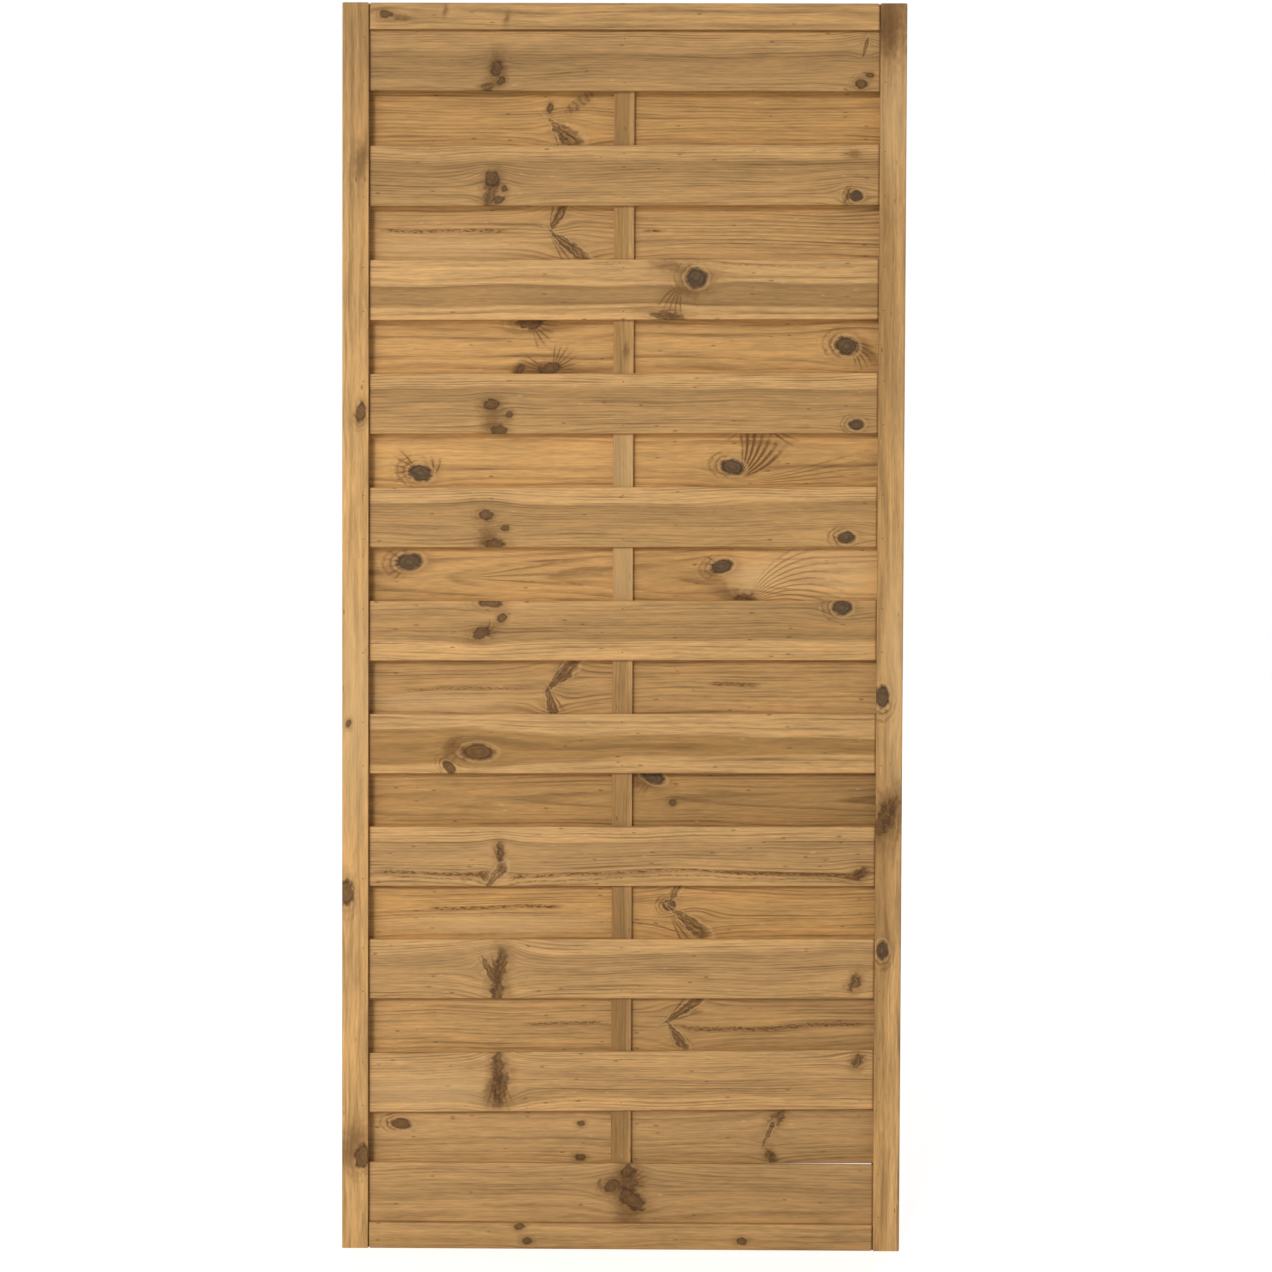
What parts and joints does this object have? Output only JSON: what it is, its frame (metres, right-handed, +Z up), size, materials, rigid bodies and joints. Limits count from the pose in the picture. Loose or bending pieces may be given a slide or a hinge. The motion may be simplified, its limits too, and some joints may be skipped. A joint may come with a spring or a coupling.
{
  "type": "wooden fence panel",
  "caption": "Upright garden fence panel of treated pine: a grooved frame holds a front and a back row of horizontal slats that cover each other's gaps, with a centre batten between them.",
  "frame": {"origin": "middle of the panel's width and depth, at its lower edge", "axes": "+Z up along the stiles, X along the slats, front face towards -Y"},
  "size_m": [0.9, 0.042, 2],
  "materials": {
    "frame_wood": "matte",
    "slat_wood": "matte",
    "batten_wood": "matte",
    "brad_steel": "satin",
    "screw_steel": "satin"
  },
  "bodies": {
    "root": {"stile_left": "frame_wood", "stile_right": "frame_wood", "rail_top": "frame_wood", "rail_bottom": "frame_wood", "slat_front_01": "slat_wood", "slat_front_02": "slat_wood", "slat_front_03": "slat_wood", "slat_front_04": "slat_wood", "slat_front_05": "slat_wood", "slat_front_06": "slat_wood", "slat_front_07": "slat_wood", "slat_front_08": "slat_wood", "slat_front_09": "slat_wood", "slat_front_10": "slat_wood", "slat_front_11": "slat_wood", "slat_back_01": "slat_wood", "slat_back_02": "slat_wood", "slat_back_03": "slat_wood", "slat_back_04": "slat_wood", "slat_back_05": "slat_wood", "slat_back_06": "slat_wood", "slat_back_07": "slat_wood", "slat_back_08": "slat_wood", "slat_back_09": "slat_wood", "slat_back_10": "slat_wood", "centre_batten": "batten_wood", "batten_brads_front": "brad_steel", "stile_brads_front_left": "brad_steel", "stile_brads_front_right": "brad_steel", "batten_brads_back": "brad_steel", "stile_brads_back_left": "brad_steel", "stile_brads_back_right": "brad_steel", "frame_screws": "screw_steel"}
  },
  "joints": []
}
